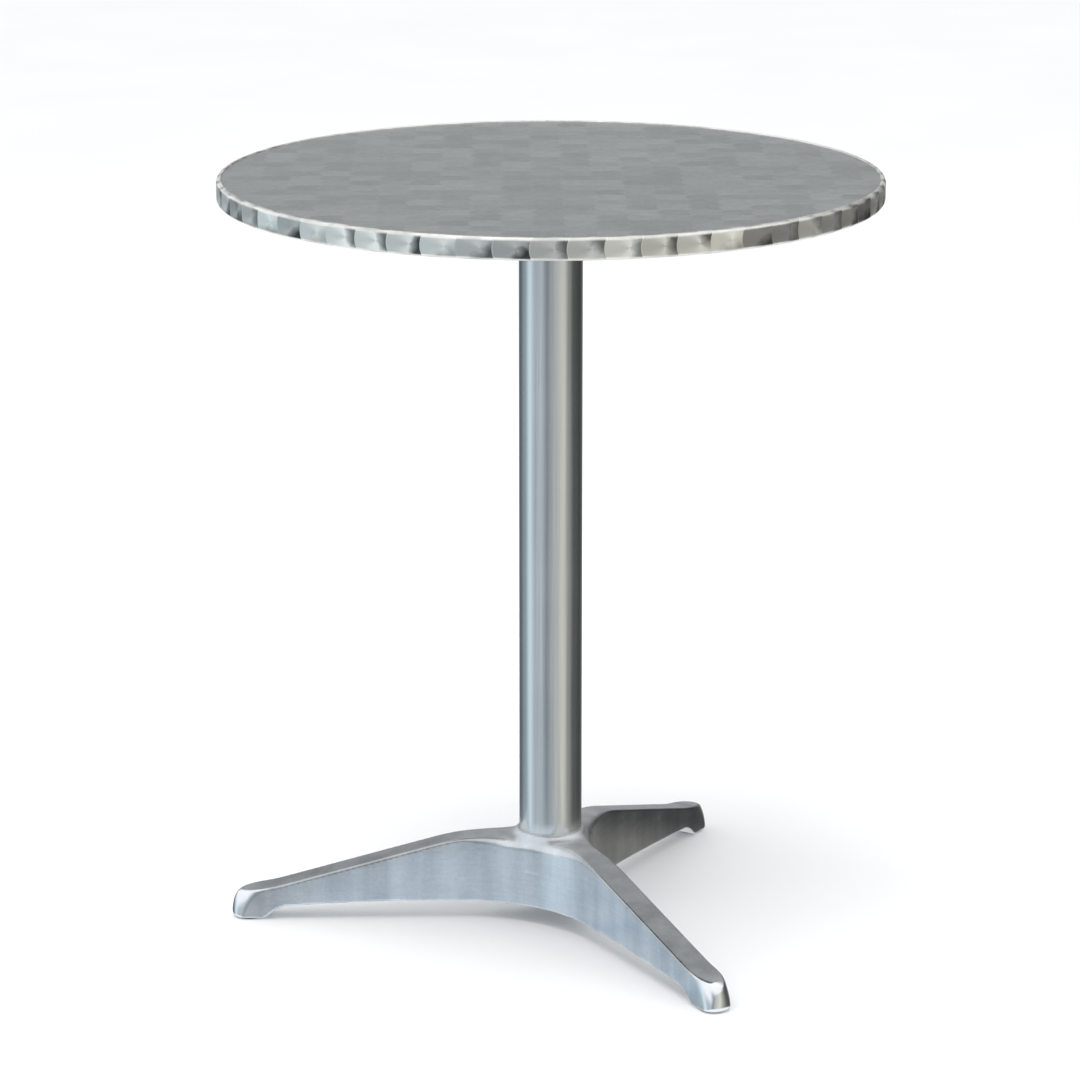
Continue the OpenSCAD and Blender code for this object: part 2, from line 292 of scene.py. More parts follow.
# Its lower edge, which bends down along the leg and steps to the foot
UNDER_Z = 18.5
UNDER_BEND_R = 100.0
UNDER_BEND = 1 / 4000
STEP_R, STEP_Z = 256.0, 10.7
STEP_SLOPE = 0.76
STEP_BLEND = 5.0
FOOT_GAP = 1.6
FOOT_BLEND = 1.6
UNDER_COS = 0.9

# Its noses, its collar, and the radii of its rounded edges
NOSE_R0 = 286.5
NOSE_CURVE = 0.022
NOSE_TOP = 32.0
NOSE_ROUND = 4.5
COLLAR_R = 30.6
COLLAR_Z0 = 60.0
COLLAR_EDGE = 1.4
COLLAR_FLARE = 9.0
LEG_EDGE = 2.2
HUB_EXTRA_EDGE = 6.8
HUB_EDGE_R0, HUB_EDGE_R1 = 46.0, 86.0
NOSE_EXTRA_EDGE = 2.2
NOSE_EDGE_R0, NOSE_EDGE_R1 = 288.0, 297.0
RIM_EDGE = 1.7
FOOT_RIM_CUT = 0.7
FOOT_RIM_R0, FOOT_RIM_R1 = 264.0, 270.0
NOSE_EXTRA_RIM = 3.6

# The hollow under it, the boss round the tie rod and the pockets of the feet
WALL = 4.0
ROOF = 5.0
HUB_ROOF_Z = 70.0
HUB_ROOF_R = 48.0
HUB_ROOF_RISE = 0.402
HOLLOW_REACH = 252.0
HOLLOW_FILLET = 3.0
HOLLOW_RIM = 1.4
BOSS_R = 16.0
BOSS_Z0 = 42.0
BOSS_EDGE = 0.8
FOOT_R = 282.5
POCKET_R = 11.2
POCKET_Z1 = 6.35
POCKET_CORNER = 0.3
POCKET_RIM = 0.4


def top_height(r):
    """Height of the base's upper face at distance r from the axis."""
    bend = np.clip(r - CROWN_R0, 0, CROWN_LENGTH)
    crown = HUB_Z - CROWN_RADIUS + np.sqrt(CROWN_RADIUS ** 2 - bend ** 2)
    slope = SLOPE_Z0 - (r - SLOPE_R0) * math.tan(SLOPE)
    tip_z0 = SLOPE_Z0 - (TIP_BREAK - SLOPE_R0) * math.tan(SLOPE)
    tip = tip_z0 - (r - TIP_BREAK) * math.tan(TIP_SLOPE)
    far_out = np.where(r > TIP_BREAK - 60, tip, FAR_BELOW)
    return np.where(r < SLOPE_R0, crown, soft_max(slope, far_out, TIP_BLEND))


def under_height(r):
    """Height of the legs' lower edge, which steps down to a foot near the tip."""
    under = UNDER_Z - np.maximum(r - UNDER_BEND_R, 0) ** 2 * UNDER_BEND
    step = STEP_Z - (r - STEP_R) * STEP_SLOPE
    return soft_max(soft_min(under, step, STEP_BLEND), FOOT_GAP + 0 * r, FOOT_BLEND)


def base_side(lx, ly):
    """Field of the base's plan: the legs' sides and the hollow curves between them."""
    cx, cy = WEB_CENTRE_R / 2, WEB_CENTRE_R * math.sin(math.radians(60))
    return np.where(lx < cx, WEB_RADIUS - np.hypot(lx - cx, ly - cy), ly - LEG_HALF)


def rising(value, start, end):
    """Goes from 0 to 1 as value goes from start to end."""
    return np.clip((value - start) / (end - start), 0, 1)


def base_outside(r, lx, ly, z):
    """Field of the casting before it is hollowed out."""
    # The nose stands upright at the floor, and leans back more and more above it
    height = np.clip(z, 0, NOSE_TOP)
    lean = NOSE_CURVE * height
    s = (lx - NOSE_R0 + lean * height) / np.hypot(1, 2 * lean)
    outer = np.where(s > 0, np.hypot(s, ly) - LEG_HALF, base_side(lx, ly))
    top = (z - top_height(r)) * math.cos(SLOPE)
    bottom = (under_height(r) - z) * UNDER_COS
    hub = rising(-r, -HUB_EDGE_R1, -HUB_EDGE_R0)
    foot = rising(lx, FOOT_RIM_R0, FOOT_RIM_R1)
    nose = rising(lx, NOSE_EDGE_R0, NOSE_EDGE_R1)
    edge = LEG_EDGE + HUB_EXTRA_EDGE * hub + NOSE_EXTRA_EDGE * nose
    rim = RIM_EDGE - FOOT_RIM_CUT * foot + NOSE_EXTRA_RIM * nose
    solid = both(both(outer, top, edge), bottom, rim)
    solid = both(solid, r - LEG_REACH, NOSE_ROUND)
    collar = np.maximum(both(r - COLLAR_R, z - BASE_HI.z, COLLAR_EDGE), COLLAR_Z0 - z)
    return either(solid, collar, COLLAR_FLARE)


def base_field(x, y, z):
    """Field of the base casting: below 0 inside the metal, above 0 outside."""
    r, lx, ly = folded(x, y, 3)
    hub_roof = HUB_ROOF_Z + np.clip(r - COLLAR_R, 0, HUB_ROOF_R - COLLAR_R) * HUB_ROOF_RISE
    roof = np.where(r < HUB_ROOF_R, hub_roof, top_height(r) - ROOF)
    hollow = both(base_side(lx, ly) + WALL, (z - roof) * math.cos(SLOPE), HOLLOW_FILLET)
    hollow = both(hollow, r - HOLLOW_REACH, HOLLOW_FILLET)
    boss = both(r - BOSS_R, BOSS_Z0 - z, BOSS_EDGE)
    hollow = both(hollow, -boss, HOLLOW_FILLET)
    solid = both(base_outside(r, lx, ly, z), -hollow, HOLLOW_RIM)
    pocket = both(np.hypot(lx - FOOT_R, ly) - POCKET_R, z - POCKET_Z1, POCKET_CORNER)
    return both(solid, -pocket, POCKET_RIM)


BASE_STEP = 1.6
MARGIN = Vector((2, 2, 2))
# The margin below keeps the casting's level faces off the planes of the grid
BASE_MARGIN = Vector((2.1, 2.3, 1.1))
base = add_casting("base", base_field, BASE_LO - BASE_MARGIN, BASE_HI + MARGIN, BASE_STEP,
                   "base_casting", "polished_casting")


# Bracket under the top: a hub with four ribbed arms
BRACKET_STEP = 1.25
BRACKET_H = 22.0
HUB_R = 37.0
HUB_DRAFT = 0.03
HUB_FILLET = 4.0
ARM_REACH = 122.0
ARM_HALF = 13.0
PLATE_T = 5.0
PLATE_EDGE = 1.2
RIB_HALF = 3.0
RIB_DEPTH = 20.0
RIB_FALL = 0.168
RIB_DRAFT = 0.02
RIB_INSET = 5.0
RIB_FILLET = 2.5
CAST_EDGE = 1.5
SPIGOT_R = TUBE_HI.x - TUBE_WALL - 0.1
SPIGOT_EDGE = 1.0
BORE_R = 5.1
BORE_ROOF = 5.0
BORE_CORNER, BORE_RIM = 0.3, 0.4
SCREW_RINGS = (62.0, 106.0)
WELL_R = 5.2
WELL_CORNER, WELL_RIM = 0.2, 0.5


def bracket_field(x, y, z):
    """Field of the bracket: below 0 inside the metal, above 0 outside."""
    r, lx, ly = folded(x, y, 4)
    depth = BRACKET_HI.z - z
    arm_end = ARM_REACH - ARM_HALF
    arm = np.where(lx > arm_end, np.hypot(lx - arm_end, ly) - ARM_HALF, ly - ARM_HALF)
    plate = both(arm, depth - PLATE_T, PLATE_EDGE)
    below = depth - PLATE_T
    rib_depth = RIB_DEPTH - np.clip(lx - HUB_R, 0, 100) * RIB_FALL
    rib = both(ly - RIB_HALF + below * RIB_DRAFT, depth - rib_depth, CAST_EDGE)
    rib = np.maximum(rib, lx - (ARM_REACH - RIB_INSET))
    hub = both(r - HUB_R + np.maximum(below, 0) * HUB_DRAFT, depth - BRACKET_H, CAST_EDGE)
    spigot = both(r - SPIGOT_R, BRACKET_LO.z - z, SPIGOT_EDGE)
    solid = either(either(plate, rib, RIB_FILLET), hub, HUB_FILLET)
    solid = np.maximum(np.minimum(solid, spigot), -depth)
    bore = both(r - BORE_R, z - (BRACKET_HI.z - BORE_ROOF), BORE_CORNER)
    solid = both(solid, -bore, BORE_RIM)
    for ring in SCREW_RINGS:
        well = both(np.hypot(lx - ring, ly) - WELL_R, PLATE_T - depth, WELL_CORNER)
        solid = both(solid, -well, WELL_RIM)
    return solid


bracket = add_casting("bracket", bracket_field, BRACKET_LO - MARGIN, BRACKET_HI + MARGIN, BRACKET_STEP,
                      "top_bracket", "raw_casting")


# ---- Edge band, column and rod ----

def band_profile():
    """Section of the rolled band, from the lower lip round the rim to the crowned upper lip and back."""
    low, high, lip, tip = 3.2, 3.8, BAND_T / 2, 0.4
    z0, z1 = TOP_Z0 + low, TOP_Z1 - high
    outer_low = corner(TOP_R - low, z0, low, -90, 0, 8)
    face = [(TOP_R, z0 + (z1 - z0) * k / 4) for k in (1, 2, 3)]
    outer_high = corner(TOP_R - high, z1, high, 0, 96, 11)
    upper_end = corner(TOP_R - UPPER_LIP + tip, TOP_Z1 - 0.95, tip, 110, 260, 5)
    inner_high = corner(TOP_R - high, z1, high - BAND_T, 84, 0, 6)
    inner_low = corner(TOP_R - low, z0, low - BAND_T, 0, -90, 4)
    lower_end = corner(TOP_R - LOWER_LIP + lip, TOP_Z0 + lip, lip, 90, 270, 6)
    return outer_low + face + outer_high + upper_end + inner_high + inner_low + lower_end


def band_waves(radius, height, angle):
    """Slight waves that rolling leaves in the rim, only ever inwards."""
    wave = np.sin(23 * angle + 0.7) + np.sin(41 * angle) + 0.6 * np.sin(67 * angle + 2.1)
    return radius - 0.015 * (5.2 + wave)


band = add_mesh("rim_band", *lathe(band_profile(), 900, gap=SEAM_GAP, shape=band_waves), TABLE,
                "edge_band", "swirl_band")


def tube_profile():
    """Section of the column's wall with its edges broken."""
    r1, r0, e = TUBE_HI.x, TUBE_HI.x - TUBE_WALL, 0.35
    z0, z1 = TUBE_LO.z, TUBE_HI.z
    outside = [(r1, z0 + e + (z1 - z0 - 2 * e) * k / 24) for k in range(25)]
    inside = [(r0, z1 - e - (z1 - z0 - 2 * e) * k / 6) for k in range(7)]
    return [(r1 - e, z0)] + outside + [(r1 - e, z1), (r0 + e, z1)] + inside + [(r0 + e, z0)]


tube = add_mesh("column", *lathe(tube_profile(), 256), TABLE, "column_tube", "drawn_tube")


def thread(pitch, depth, ranges):
    """Shape of a screw thread on a turned surface.

    Each range is a low and a high height, and the least radius that is threaded between them.
    """
    def shape(radius, height, angle):
        phase = np.mod(height / pitch - angle / (2 * math.pi), 1.0)
        groove = np.clip(1.25 - np.abs(phase - 0.5) * 3.0, 0, 1)
        cut = np.zeros_like(radius)
        for low, high, least in ranges:
            fade = np.clip(np.minimum(height - low, high - height) / pitch, 0, 1)
            cut = np.maximum(cut, groove * fade * (radius > least))
        return radius - depth * cut
    return shape


ROD_R = 5.0
ROD_SHANK_R = 4.5
ROD_CHAMFER = 0.9
ROD_PITCH = 1.5
ROD_THREAD_DEPTH = 0.85
ROD_THREADS = ((ROD_LO.z, ROD_LO.z + 42), (ROD_HI.z - 70, ROD_HI.z))


def rod_profile():
    """Outline of the tie rod from its lower centre to its upper one, finely divided where threaded."""
    z0, z1 = ROD_LO.z + ROD_CHAMFER, ROD_HI.z - ROD_CHAMFER
    heights = []
    for low, high in ROD_THREADS:
        heights += np.arange(low, high, 0.25).tolist() + [high]
    heights = sorted(set(round(h, 4) for h in heights if z0 < h < z1))
    wall = []
    for h in [z0] + heights + [z1]:
        threaded = any(low <= h <= high for low, high in ROD_THREADS)
        wall.append((ROD_R if threaded else ROD_SHANK_R, h))
    lower_end = [(0.01, ROD_LO.z), (ROD_R - ROD_CHAMFER, ROD_LO.z)]
    upper_end = [(ROD_R - ROD_CHAMFER, ROD_HI.z), (0.01, ROD_HI.z)]
    return lower_end + wall + upper_end


rod_spans = [(low - ROD_PITCH, high + ROD_PITCH, ROD_SHANK_R - 0.1) for low, high in ROD_THREADS]
rod_shape = thread(ROD_PITCH, ROD_THREAD_DEPTH, rod_spans)
rod = add_mesh("tie_rod_steel", *lathe(rod_profile(), 40, closed=False, shape=rod_shape), TABLE,
               "tie_rod", "zinc_steel")


# ---- Feet ----

PAD_R = 11.0
PAD_H = 6.0
KEY_HOLE_R = 3.5
NECK_R = 4.08
HEAD_POCKET_R = 7.35
HEAD_POCKET_Z0, HEAD_POCKET_Z1 = 1.8, 5.1
FLUTES = 30
HEAD_R = 7.0
HEAD_EDGE = 0.5
HEAD_Z0, HEAD_Z1 = 2.15, 4.75
SCREW_TOP = 19.0
SCREW_R = 4.0
SCREW_CHAMFER = 0.9
SCREW_PITCH = 1.25
SCREW_THREAD_DEPTH = 0.7
SOCKET_R = 2.0


def pad_profile():
    """Section of a foot pad: rounded outside, with a pocket for the screw's head inside."""
    outside = [(KEY_HOLE_R, 0.25), (3.75, 0.0), (6.2, 0.0), (6.6, 0.3), (7.4, 0.3), (7.8, 0.0)]
    outside += corner(PAD_R - 1.1, 1.1, 1.1, -90, 0, 6)
    outside += [(PAD_R, PAD_H - 0.7)] + corner(PAD_R - 0.6, PAD_H - 0.6, 0.6, 15, 90, 4)
    neck = [(4.3, PAD_H), (NECK_R, PAD_H - 0.25), (NECK_R, HEAD_POCKET_Z1)]
    pocket = [(HEAD_POCKET_R, HEAD_POCKET_Z1), (HEAD_POCKET_R, HEAD_POCKET_Z0), (KEY_HOLE_R, HEAD_POCKET_Z0)]
    return outside + neck + pocket


def rim_grip(radius, height, angle):
    """Small flutes round the pad's rim."""
    flute = 0.5 - 0.5 * np.cos(FLUTES * angle)
    outer = np.clip((radius - PAD_R + 0.7) / 0.7, 0, 1)
    return radius - 0.35 * flute * outer


def screw_profile():
    """Section of a foot screw, from the key socket round the head and up the thread."""
    socket = [(0.01, 4.6), (1.0, HEAD_Z0 + 3.0), (SOCKET_R, HEAD_Z0 + 2.2), (SOCKET_R, HEAD_Z0 + 0.3)]
    socket += [(SOCKET_R + 0.3, HEAD_Z0)]
    head = corner(HEAD_R - HEAD_EDGE, HEAD_Z0 + HEAD_EDGE, HEAD_EDGE, -90, 0, 3)
    head += corner(HEAD_R - HEAD_EDGE, HEAD_Z1 - HEAD_EDGE, HEAD_EDGE, 0, 90, 3)
    heights = [HEAD_Z1] + np.arange(HEAD_Z1 + 0.2, SCREW_TOP - SCREW_CHAMFER, 0.2).tolist()
    shank = [(SCREW_R, h) for h in heights]
    return socket + head + shank + [(SCREW_R - SCREW_CHAMFER, SCREW_TOP), (0.01, SCREW_TOP)]


def screw_shape(radius, height, angle):
    """Threads the shank, and makes the key socket six-sided."""
    spans = [(HEAD_Z1 - 0.6, SCREW_TOP + 1, SCREW_R - 0.4)]
    turned = thread(SCREW_PITCH, SCREW_THREAD_DEPTH, spans)(radius, height, angle)
    turned = np.where(radius < SCREW_R + 0.01, turned, radius)
    sector = np.mod(angle, math.radians(60)) - math.radians(30)
    in_socket = (radius < 2.5) & (height < HEAD_Z0 + 3.2)
    return np.where(in_socket, radius / np.cos(sector), turned)


pads, foot_screws = [], []
for number, angle in enumerate(LEG_ANGLES, 1):
    centre = (FOOT_R * math.cos(math.radians(angle)), FOOT_R * math.sin(math.radians(angle)), 0)
    points, faces = lathe(pad_profile(), 120, shape=rim_grip)
    pads.append(add_mesh(f"pad_{number}", moved(points, centre, angle), faces, f"pad_{number}",
                         f"foot_pad_{number}", "pad_plastic"))
    points, faces = lathe(screw_profile(), 48, closed=False, shape=screw_shape)
    foot_screws.append(add_mesh(f"levelling_screw_{number}", moved(points, centre, angle), faces,
                                f"screw_{number}", f"foot_screw_{number}", "zinc_steel"))


# ---- Materials ----

def connect(tree, node, inputs):
    """Links the inputs that are given as sockets, and sets the others."""
    for key, value in inputs.items():
        if isinstance(value, bpy.types.NodeSocket):
            tree.links.new(value, node.inputs[key])
        else:
            node.inputs[key].default_value = value


def new_node(tree, kind, inputs=None, **settings):
    """Adds a node with its settings and inputs."""
    made = tree.nodes.new(kind)
    for key, value in settings.items():
        setattr(made, key, value)
    connect(tree, made, inputs or {})
    return made


def blend(tree, amount, colour0, colour1):
    """Mixes two colours, from the first at 0 to the second at 1."""
    made = new_node(tree, "ShaderNodeMix", {0: amount, 6: colour0, 7: colour1}, data_type="RGBA")
    return made.outputs[2]


class Shader:
    """A material under construction: short names for the nodes that this file uses."""

    def __init__(self, name):
        self.material = bpy.data.materials.new(name)
        self.material.use_nodes = True
        self.tree = self.material.node_tree
        self.bsdf = self.tree.nodes["Principled BSDF"]
        self.place = self.add("ShaderNodeTexCoord").outputs["Object"]

    def add(self, kind, inputs=None, **settings):
        return new_node(self.tree, kind, inputs, **settings)

    def maths(self, operation, *values):
        made = self.add("ShaderNodeMath", dict(enumerate(values)), operation=operation)
        return made.outputs[0]

    def vector(self, operation, *values):
        made = self.add("ShaderNodeVectorMath", dict(enumerate(values)), operation=operation)
        return made.outputs["Vector"]

    def length(self, x, y):
        squares = self.maths("ADD", self.maths("MULTIPLY", x, x), self.maths("MULTIPLY", y, y))
        return self.maths("SQRT", squares)

    def parts(self, vector):
        made = self.add("ShaderNodeSeparateXYZ", {0: vector})
        return made.outputs[0], made.outputs[1], made.outputs[2]

    def join(self, x, y, z):
        return self.add("ShaderNodeCombineXYZ", {0: x, 1: y, 2: z}).outputs[0]

    def noise(self, scale, detail=3.0, rough=0.5, place=None, stretch=None):
        """Noise with features of about 1/scale metres, from 0 to 1."""
        at = self.place if place is None else place
        if stretch:
            at = self.vector("MULTIPLY", at, stretch)
        made = self.add("ShaderNodeTexNoise", {"Vector": at, "Scale": scale, "Detail": detail,
                                               "Roughness": rough})
        return made.outputs["Fac"]

    def random(self, x, y):
        """The same random number, 0 to 1, wherever x and y are the same."""
        return self.add("ShaderNodeTexWhiteNoise", {"Vector": self.join(x, y, 0.0)},
                        noise_dimensions="3D").outputs["Value"]

    def between(self, value, low, high, out0, out1):
        """Maps value from low..high to out0..out1, held at the ends."""
        made = self.add("ShaderNodeMapRange", {0: value, 1: low, 2: high, 3: out0, 4: out1})
        return made.outputs[0]

    def mix(self, amount, colour0, colour1):
        return blend(self.tree, amount, colour0, colour1)

    def bump(self, height, distance, strength=1.0, normal=None):
        inputs = {"Height": height, "Distance": distance, "Strength": strength}
        if normal is not None:
            inputs["Normal"] = normal
        return self.add("ShaderNodeBump", inputs).outputs["Normal"]

    def surface(self, **inputs):
        """Sets or links the shader's inputs, with _ for the spaces in their names."""
        connect(self.tree, self.bsdf, {key.replace("_", " "): value for key, value in inputs.items()})
        return self.material

    def turning(self, s, t, width, height, radius):
        """One row of overlapping swirl discs for each height of t, every disc width apart.

        Returns each point's offset from its disc's centre, its distance from that disc's edge
        along the row, and the disc's and row's numbers.
        """
        row = self.maths("FLOOR", self.maths("DIVIDE", t, height))
        dt = self.maths("SUBTRACT", t, self.maths("MULTIPLY", self.maths("ADD", row, 0.5), height))
        squares = self.maths("SUBTRACT", radius * radius, self.maths("MULTIPLY", dt, dt))
        reach = self.maths("SQRT", squares)
        disc = self.maths("FLOOR", self.maths("DIVIDE", self.maths("ADD", s, reach), width))
        ds = self.maths("SUBTRACT", s, self.maths("MULTIPLY", disc, width))
        return ds, dt, self.maths("ADD", ds, reach), disc, row


def grey(value, warmth=0.0):
    """A grey, warmer above 0 and bluer below."""
    return (value * (1 + warmth), value, value * (1 - warmth), 1)


BAND_DISCS = 60
BAND_DISC_R = 0.0215


def swirl_band():
    """Bright band with one row of engine-turned discs round it, with painted reflection in each disc: a dark
    wedge of painted shade and a painted highlight along its edge.
    """
    m = Shader("engine_turned_band")
    x, y, z = m.parts(m.place)
    angle = m.maths("ARCTAN2", x, m.maths("MULTIPLY", y, -1.0))
    width = 2 * math.pi * TOP_R * MM / BAND_DISCS
    s = m.maths("MULTIPLY", angle, TOP_R * MM)
    # A row 6 mm wider than the band on either side, so that the whole band lies in it
    t = m.maths("SUBTRACT", z, (TOP_Z0 - 6) * MM)
    ds, dt, inward, disc, row = m.turning(s, t, width, (TOP_Z1 - TOP_Z0 + 12) * MM, BAND_DISC_R)
    luck = m.random(disc, row)
    luck2 = m.random(disc, m.maths("ADD", row, 7.0))
    along = m.vector("NORMALIZE", m.join(m.maths("MULTIPLY", y, -1.0), x, 0.0))
    out = m.vector("ADD", m.vector("MULTIPLY", along, m.join(ds, ds, ds)), m.join(0.0, 0.0, dt))
    tangent = m.vector("NORMALIZE", out)
    spread = m.length(ds, dt)
    rings = m.noise(1.0, 2.0, 0.7, place=m.join(m.maths("MULTIPLY", spread, 2600.0), disc, 0.0))
    # Painted reflection: each disc gets a soft dark wedge of painted shade that points away from its centre
    # and stops at the next disc
    drift = m.maths("MULTIPLY", m.maths("SUBTRACT", m.noise(70.0, 2.0, 0.5), 0.5), 0.016)
    drift2 = m.maths("MULTIPLY", m.maths("SUBTRACT", m.noise(95.0, 2.0, 0.5), 0.5), 0.012)
    polar = m.maths("ARCTAN2", m.maths("ADD", dt, drift), m.maths("ADD", ds, drift2))
    tie = m.maths("COSINE", m.maths("SUBTRACT", polar, m.between(luck2, 0.0, 1.0, -1.5, 0.8)))
    fade = m.between(spread, 0.001, 0.009, 0.2, 1.0)
    dark = m.maths("MULTIPLY", m.between(tie, 0.05, 0.85, 0.0, 1.0), fade)
    dark = m.maths("MULTIPLY", dark, m.between(luck, 0.0, 1.0, 1.0, 0.35))
    # The swirls fade out on the rounded lips, which the rollers leave plain and bright
    lip = m.maths("MAXIMUM", m.between(z, (TOP_Z1 - 3.4) * MM, (TOP_Z1 - 1.6) * MM, 0.0, 1.0),
                  m.between(z, (TOP_Z0 + 2.4) * MM, (TOP_Z0 + 1.0) * MM, 0.0, 1.0))
    face = m.maths("SUBTRACT", 1.0, lip)
    # The painted shade of the wedges is taken off each disc's own random tone
    tone = m.maths("SUBTRACT", m.between(m.random(disc, 3.0), 0.0, 1.0, 0.66, 1.25), dark)
    tone = m.maths("MULTIPLY", tone, m.between(rings, 0.3, 0.7, 0.86, 1.12))
    worn = m.between(m.noise(42.0, 2.0, 0.5), 0.35, 0.6, 0.72, 1.0)
    tone = m.maths("ADD", m.maths("MULTIPLY", tone, face), m.maths("MULTIPLY", lip, worn))
    # A painted highlight along the edge of each disc
    rim = m.between(inward, 0.0008, 0.0030, 0.95, 0.0)
    colour = m.mix(m.maths("MAXIMUM", tone, rim), grey(0.09, 0.02), (1.0, 0.98, 0.93, 1))
    rough = m.maths("ADD", m.between(luck2, 0.0, 1.0, 0.33, 0.45), m.maths("MULTIPLY", dark, -0.05))
    # Each disc is a very shallow dish, tipped a little its own way
    dish = m.maths("MULTIPLY", m.maths("MULTIPLY", spread, spread), 2.4)
    tip = m.maths("MULTIPLY", ds, m.between(m.random(disc, 5.0), 0.0, 1.0, -0.24, 0.24))
    lift = m.maths("ADD", m.maths("ADD", dish, tip), m.maths("MULTIPLY", rings, 0.000012))
    return m.surface(Base_Color=colour, Metallic=1.0, Roughness=rough, Anisotropic=0.8,
                     Tangent=tangent, Normal=m.bump(lift, 1.0, m.maths("MULTIPLY", face, 0.9)))


SHEET_DISC_STEP, SHEET_ROW_STEP = 0.027, 0.024
SHEET_DISC_R = 0.0185


def swirl_sheet():
    """Satin sheet with faint rows of swirls and soft cloudy patches, with a painted light and dark wedge of
    reflection in each swirl and a painted highlight along its edge.
    """
    m = Shader("swirled_top_sheet")
    x, y = m.parts(m.place)[:2]
    ds, dt, inward, disc, row = m.turning(x, y, SHEET_DISC_STEP, SHEET_ROW_STEP, SHEET_DISC_R)
    luck = m.random(disc, row)
    spread = m.length(ds, dt)
    rings = m.noise(1.0, 2.0, 0.7, place=m.join(m.maths("MULTIPLY", spread, 1800.0), disc, row))
    wedge = m.between(m.maths("DIVIDE", m.maths("ABSOLUTE", ds), m.maths("ADD", spread, 0.0002)),
                      0.3, 0.95, 0.0, 1.0)
    cloud = m.noise(11.0, 4.0, 0.6)
    fine = m.noise(130.0, 3.0, 0.6)
    tone = m.maths("ADD", m.between(luck, 0.0, 1.0, 0.38, 0.62), m.between(cloud, 0.3, 0.7, -0.08, 0.08))
    # Painted reflection: each swirl is lighter beside its centre along x and darker beside it along y, like
    # a bow-tie
    tone = m.maths("ADD", tone, m.between(wedge, 0.0, 1.0, -0.10, 0.10))
    # A painted highlight along the edge of each swirl
    tone = m.maths("ADD", tone, m.between(inward, 0.0005, 0.0016, 0.16, 0.0))
    tone = m.maths("ADD", tone, m.between(fine, 0.25, 0.75, -0.14, 0.14))
    colour = m.mix(tone, (0.488, 0.502, 0.488, 1), (0.765, 0.785, 0.770, 1))
    rough = m.maths("ADD", m.between(luck, 0.0, 1.0, 0.40, 0.46), m.between(rings, 0.3, 0.7, -0.03, 0.03))
    tangent = m.vector("NORMALIZE", m.join(ds, dt, 0.0))
    return m.surface(Base_Color=colour, Metallic=1.0, Roughness=rough, Anisotropic=0.22, Tangent=tangent,
                     Normal=m.bump(rings, 0.00001, 0.6))


def drawn_tube():
    """Bright tube with fine lines along it and slight dulling where hands touch it."""
    m = Shader("drawn_aluminium")
    lines = m.noise(1.0, 2.0, 0.6, stretch=(900.0, 900.0, 6.0))
    wide = m.noise(1.0, 2.0, 0.5, stretch=(160.0, 160.0, 3.0))
    dull = m.noise(7.0, 4.0, 0.6)
    tone = m.maths("ADD", m.between(lines, 0.3, 0.7, 0.35, 0.65), m.between(wide, 0.3, 0.7, -0.15, 0.15))
    colour = m.mix(tone, grey(0.66, -0.01), grey(0.86, -0.01))
    rough = m.maths("ADD", m.between(dull, 0.3, 0.7, 0.17, 0.23), m.between(lines, 0.3, 0.7, -0.02, 0.02))
    return m.surface(Base_Color=colour, Metallic=1.0, Roughness=rough, Anisotropic=0.9,
                     Tangent=m.join(0.0, 0.0, 1.0), Normal=m.bump(lines, 0.000006, 0.4))


def polished_casting():
    """Cast aluminium, buffed bright along the legs, with a faint skin of pits and buffing marks, painted
    shade on the legs' upper edges and a painted highlight on their noses.
    """
    m = Shader("polished_cast_aluminium")
    cloud = m.noise(22.0, 4.0, 0.6)
    grain = m.noise(420.0, 3.0, 0.6)
    buff = m.noise(1.0, 3.0, 0.6, stretch=(40.0, 40.0, 420.0))
    wave = m.noise(38.0, 2.0, 0.5)
    tone = m.maths("ADD", m.between(cloud, 0.3, 0.7, 0.35, 0.65), m.between(grain, 0.3, 0.7, -0.12, 0.12))
    tone = m.maths("ADD", tone, m.between(buff, 0.3, 0.7, -0.10, 0.10))
    # Soft lighter and darker streaks up and down the sides, which also ripple the surface a little
    streak = m.noise(1.0, 2.0, 0.5, stretch=(48.0, 48.0, 4.0))
    tone = m.maths("ADD", tone, m.between(streak, 0.35, 0.65, -0.28, 0.28))
    # Painted shade darkens the upper edges of the legs, and a painted highlight makes their noses the
    # brightest
    x, y, z = m.parts(m.place)
    up = m.parts(m.add("ShaderNodeNewGeometry").outputs["Normal"])[2]
    reach = m.length(x, y)
    edge = m.maths("MULTIPLY", m.between(up, 0.15, 0.40, 0.0, 1.0), m.between(up, 0.93, 0.85, 0.0, 1.0))
    edge = m.maths("MULTIPLY", edge, m.between(reach, 0.045, 0.085, 0.0, 1.0))
    edge = m.maths("MULTIPLY", edge, m.between(reach, 0.272, 0.262, 0.0, 1.0))
    colour = m.mix(tone, grey(0.62, -0.035), grey(0.88, -0.015))
    # Painted shade on the legs' upper edges
    colour = m.mix(m.maths("MULTIPLY", edge, 0.5), colour, grey(0.22, -0.02))
    # Painted highlight on the noses of the legs
    colour = m.mix(m.between(reach, 0.272, 0.284, 0.0, 0.85), colour, grey(0.98, -0.01))
    rough = m.maths("ADD", m.between(cloud, 0.3, 0.7, 0.18, 0.26), m.between(buff, 0.3, 0.7, -0.02, 0.02))
    # The wheel can't follow the hub's top close to the column, so that is left duller
    rough = m.maths("ADD", rough, m.between(z, 0.075, 0.0815, 0.0, 0.22))
    normal = m.bump(m.maths("ADD", wave, m.maths("MULTIPLY", streak, 0.5)), 0.0006, 0.5)
    return m.surface(Base_Color=colour, Metallic=1.0, Roughness=rough,
                     Normal=m.bump(m.maths("ADD", buff, grain), 0.000014, 0.6, normal))


